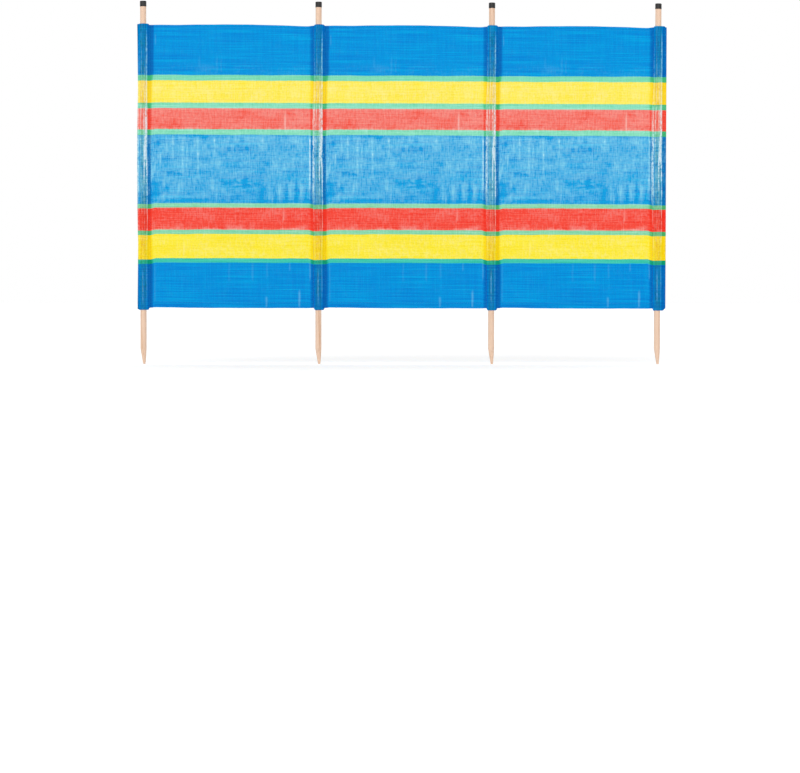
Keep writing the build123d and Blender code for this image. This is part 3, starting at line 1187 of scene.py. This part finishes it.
def one_stitch(sizes):
    """A stitch along Z, its outside to -Y: a rounded bar of thread that dips into the cloth at its ends."""
    mesh = bmesh.new()
    bmesh.ops.create_cone(
        mesh,
        cap_ends=True,
        segments=5,
        radius1=sizes.thread_thickness / 2,
        radius2=sizes.thread_thickness / 2,
        depth=sizes.stitch_length * 0.62,
    )
    for end in [face for face in mesh.faces if len(face.verts) == 5]:
        along = 1 if end.calc_center_median().z > 0 else -1
        tip = bmesh.ops.extrude_discrete_faces(mesh, faces=[end])["faces"][0]
        drop = Vector((0, sizes.thread_thickness * 0.5, along * sizes.stitch_length * 0.19))
        bmesh.ops.translate(mesh, verts=tip.verts, vec=drop)
        middle = Matrix.Translation(-tip.calc_center_median())
        bmesh.ops.scale(mesh, verts=tip.verts, vec=Vector((0.45, 0.45, 1)), space=middle)
    bmesh.ops.recalc_face_normals(mesh, faces=mesh.faces[:])
    return as_data("stitch", mesh)


def sew(mesh, stitch, middle, direction, outward):
    """Adds one stitch to a seam."""
    turn = Matrix((direction.cross(outward), -outward, direction)).transposed().to_4x4()
    place = Matrix.Translation(middle) @ turn
    stitch.transform(place)
    mesh.from_mesh(stitch)
    stitch.transform(place.inverted())


class WINDBREAK_OT_stitches(bpy.types.Operator):
    """Sews the sleeves' lips and the hems with rows of lockstitch"""

    bl_idname = "windbreak.stitches"
    bl_label = "Stitches"

    def execute(self, context):
        sizes = context.scene.windbreak_sizes
        thread = sewing_thread()
        pitch = sizes.stitch_pitch
        up, back = Vector((0, 0, 1)), Vector((0, 1, 0))
        stitch = one_stitch(sizes)
        seams = {body: bmesh.new() for body in BAY_BODY.values()}
        half = sizes.cloth_thickness / 2 + sizes.thread_thickness * 0.2
        # Rows up the sleeves' lips: where each lies, its body, and how deep the cloth's front and back lie
        rows = []
        for number in BAYS:
            lips = (BAY_BODY[number], FRONT_LIP_DEPTH, BACK_LIP_DEPTH)
            rows.append((POLE_AXIS[number] + RIGHT_STITCHES, *lips))
            rows.append((POLE_AXIS[number + 1] - LEFT_STITCHES, *lips))
        rows.append((POLE_AXIS[4] + END_STITCHES, BAY_BODY[3], END_FRONT_LIP_DEPTH, END_BACK_LIP_DEPTH))
        for x, body, near, far in rows:
            for z in spaced(CLOTH_BOTTOM + 5 * MM, CLOTH_TOP - 5 * MM, pitch):
                sew(seams[body], stitch, Vector((x, near - half, z)), up, -back)
                sew(seams[body], stitch, Vector((x, far + half, z)), up, back)
        for number in BAYS:
            bay, seam = Bay(number), seams[BAY_BODY[number]]
            for z in (CLOTH_TOP - TOP_HEM + HEM_STITCHES, CLOTH_BOTTOM + BOTTOM_HEM - HEM_STITCHES):
                for x in spaced(bay.left_margin + 3 * MM, bay.right_margin - 3 * MM, pitch):
                    here, beyond = bay.place(x, z), bay.place(x + pitch / 2, z)
                    run = (beyond - here).normalized()
                    outward = run.cross(up).normalized()
                    outward = outward if outward.y < 0 else -outward
                    middle = (here + beyond) / 2
                    sew(seam, stitch, middle + outward * half, run, outward)
                    sew(seam, stitch, middle - outward * (half + HEM_DEPTH), run, -outward)
        for body, seam in seams.items():
            finish_piece(f"stitches_{body}", seam, thread, body)
        return {"FINISHED"}


class WINDBREAK_OT_poles(bpy.types.Operator):
    """Gives the wooden poles and their caps their finishes"""

    bl_idname = "windbreak.poles"
    bl_label = "Poles and caps"

    def execute(self, context):
        wood, plastic = planed_softwood(), moulded_polyethylene()
        for number in POLES:
            for node, material in ((f"pole_{number}", wood), (f"cap_{number}", plastic)):
                piece = bpy.data.objects[node]
                piece.data.materials.clear()
                piece.data.materials.append(material)
        return {"FINISHED"}


def aimed(name, data, place, target):
    """Adds a light or camera that looks from place at target."""
    made = bpy.data.objects.new(name, data)
    bpy.context.scene.collection.objects.link(made)
    made.location = place
    made.rotation_euler = (Vector(target) - Vector(place)).to_track_quat("-Z", "Y").to_euler()
    return made


class WINDBREAK_OT_stage(bpy.types.Operator):
    """Adds the white floor, the soft light and the camera"""

    bl_idname = "windbreak.stage"
    bl_label = "Floor, light and camera"

    def execute(self, context):
        scene, stage = context.scene, context.scene.windbreak_stage
        scene.view_settings.view_transform = "Standard"

        # The world is white to the camera, in gloss and through glass, and softer as light
        scene.world = bpy.data.worlds.new("Studio")
        tree = Nodes(scene.world)
        strength = tree.ranged(tree.looked_at(), 0.0, 1.0, stage.world_light, 1.0)
        glow = tree.add("Background", {"Color": (1, 1, 1, 1), "Strength": strength})[0]
        tree.add("OutputWorld", {"Surface": glow})

        # White floor that keeps the object's shadow
        material, tree = new_material("White floor")
        tree.surface(
            Base_Color=(0.8, 0.8, 0.8, 1),
            Roughness=1.0,
            Specular_IOR_Level=0.0,
            Emission_Color=(1, 1, 1, 1),
            Emission_Strength=tree.scaled(tree.looked_at(), 0.3),
        )
        mesh = bmesh.new()
        bmesh.ops.create_grid(mesh, x_segments=2, y_segments=2, size=60)
        data = as_data("floor", mesh)
        data.materials.append(material)
        floor = bpy.data.objects.new("floor", data)
        scene.collection.objects.link(floor)

        # Broad soft lights, and a long strip whose reflection lies across the cloth at mid height
        for name, power, spread, place in (
            ("key_light", stage.key_light, 50, (-0.9, -6.0, 3.6)),
            ("back_light", stage.back_light, 90, (2.4, 5.0, 5.6)),
        ):
            sun = bpy.data.lights.new(name, "SUN")
            sun.energy = power
            sun.angle = math.radians(spread)
            aimed(name, sun, place, (0.34, 0, 0.7))
        strip = bpy.data.lights.new("gloss_light", "AREA")
        strip.shape = "RECTANGLE"
        strip.size, strip.size_y = 2.9, 0.42
        strip.energy = stage.gloss_light
        lamp = aimed("gloss_light", strip, (0.35, -1.0, 0.9), (0.35, 0, 0.9))
        lamp.visible_camera = False
        lamp.visible_diffuse = False

        camera = bpy.data.cameras.new("camera")
        camera.sensor_width = 36
        camera.lens = CAMERA_LENS
        camera.clip_end = 200
        scene.camera = aimed("camera", camera, CAMERA_PLACE, CAMERA_TARGET)
        scene.camera.rotation_euler.rotate_axis("Z", CAMERA_ROLL)
        return {"FINISHED"}


class WINDBREAK_PT_sidebar(bpy.types.Panel):
    bl_label = "Beach windbreak"
    bl_idname = "WINDBREAK_PT_sidebar"
    bl_space_type = "VIEW_3D"
    bl_region_type = "UI"
    bl_category = "Windbreak"

    def draw(self, context):
        scene = context.scene
        for operator in OPERATORS:
            self.layout.operator(operator.bl_idname)
        for settings in (scene.windbreak_sizes, scene.windbreak_colours, scene.windbreak_stage):
            box = self.layout.box()
            for name in settings.__annotations__:
                box.prop(settings, name)


OPERATORS = (
    WINDBREAK_OT_margins,
    WINDBREAK_OT_panels,
    WINDBREAK_OT_sleeves,
    WINDBREAK_OT_stitches,
    WINDBREAK_OT_poles,
    WINDBREAK_OT_stage,
)
CLASSES = (WindbreakColours, WindbreakSizes, WindbreakStage, *OPERATORS, WINDBREAK_PT_sidebar)


def register():
    for cls in CLASSES:
        bpy.utils.register_class(cls)
    bpy.types.Scene.windbreak_colours = bpy.props.PointerProperty(type=WindbreakColours)
    bpy.types.Scene.windbreak_sizes = bpy.props.PointerProperty(type=WindbreakSizes)
    bpy.types.Scene.windbreak_stage = bpy.props.PointerProperty(type=WindbreakStage)


def unregister():
    del bpy.types.Scene.windbreak_stage
    del bpy.types.Scene.windbreak_sizes
    del bpy.types.Scene.windbreak_colours
    for cls in reversed(CLASSES):
        bpy.utils.unregister_class(cls)


def main():
    register()
    bpy.ops.windbreak.margins()
    bpy.ops.windbreak.panels()
    bpy.ops.windbreak.sleeves()
    bpy.ops.windbreak.stitches()
    bpy.ops.windbreak.poles()
    bpy.ops.windbreak.stage()


if __name__ == "__main__":
    main()
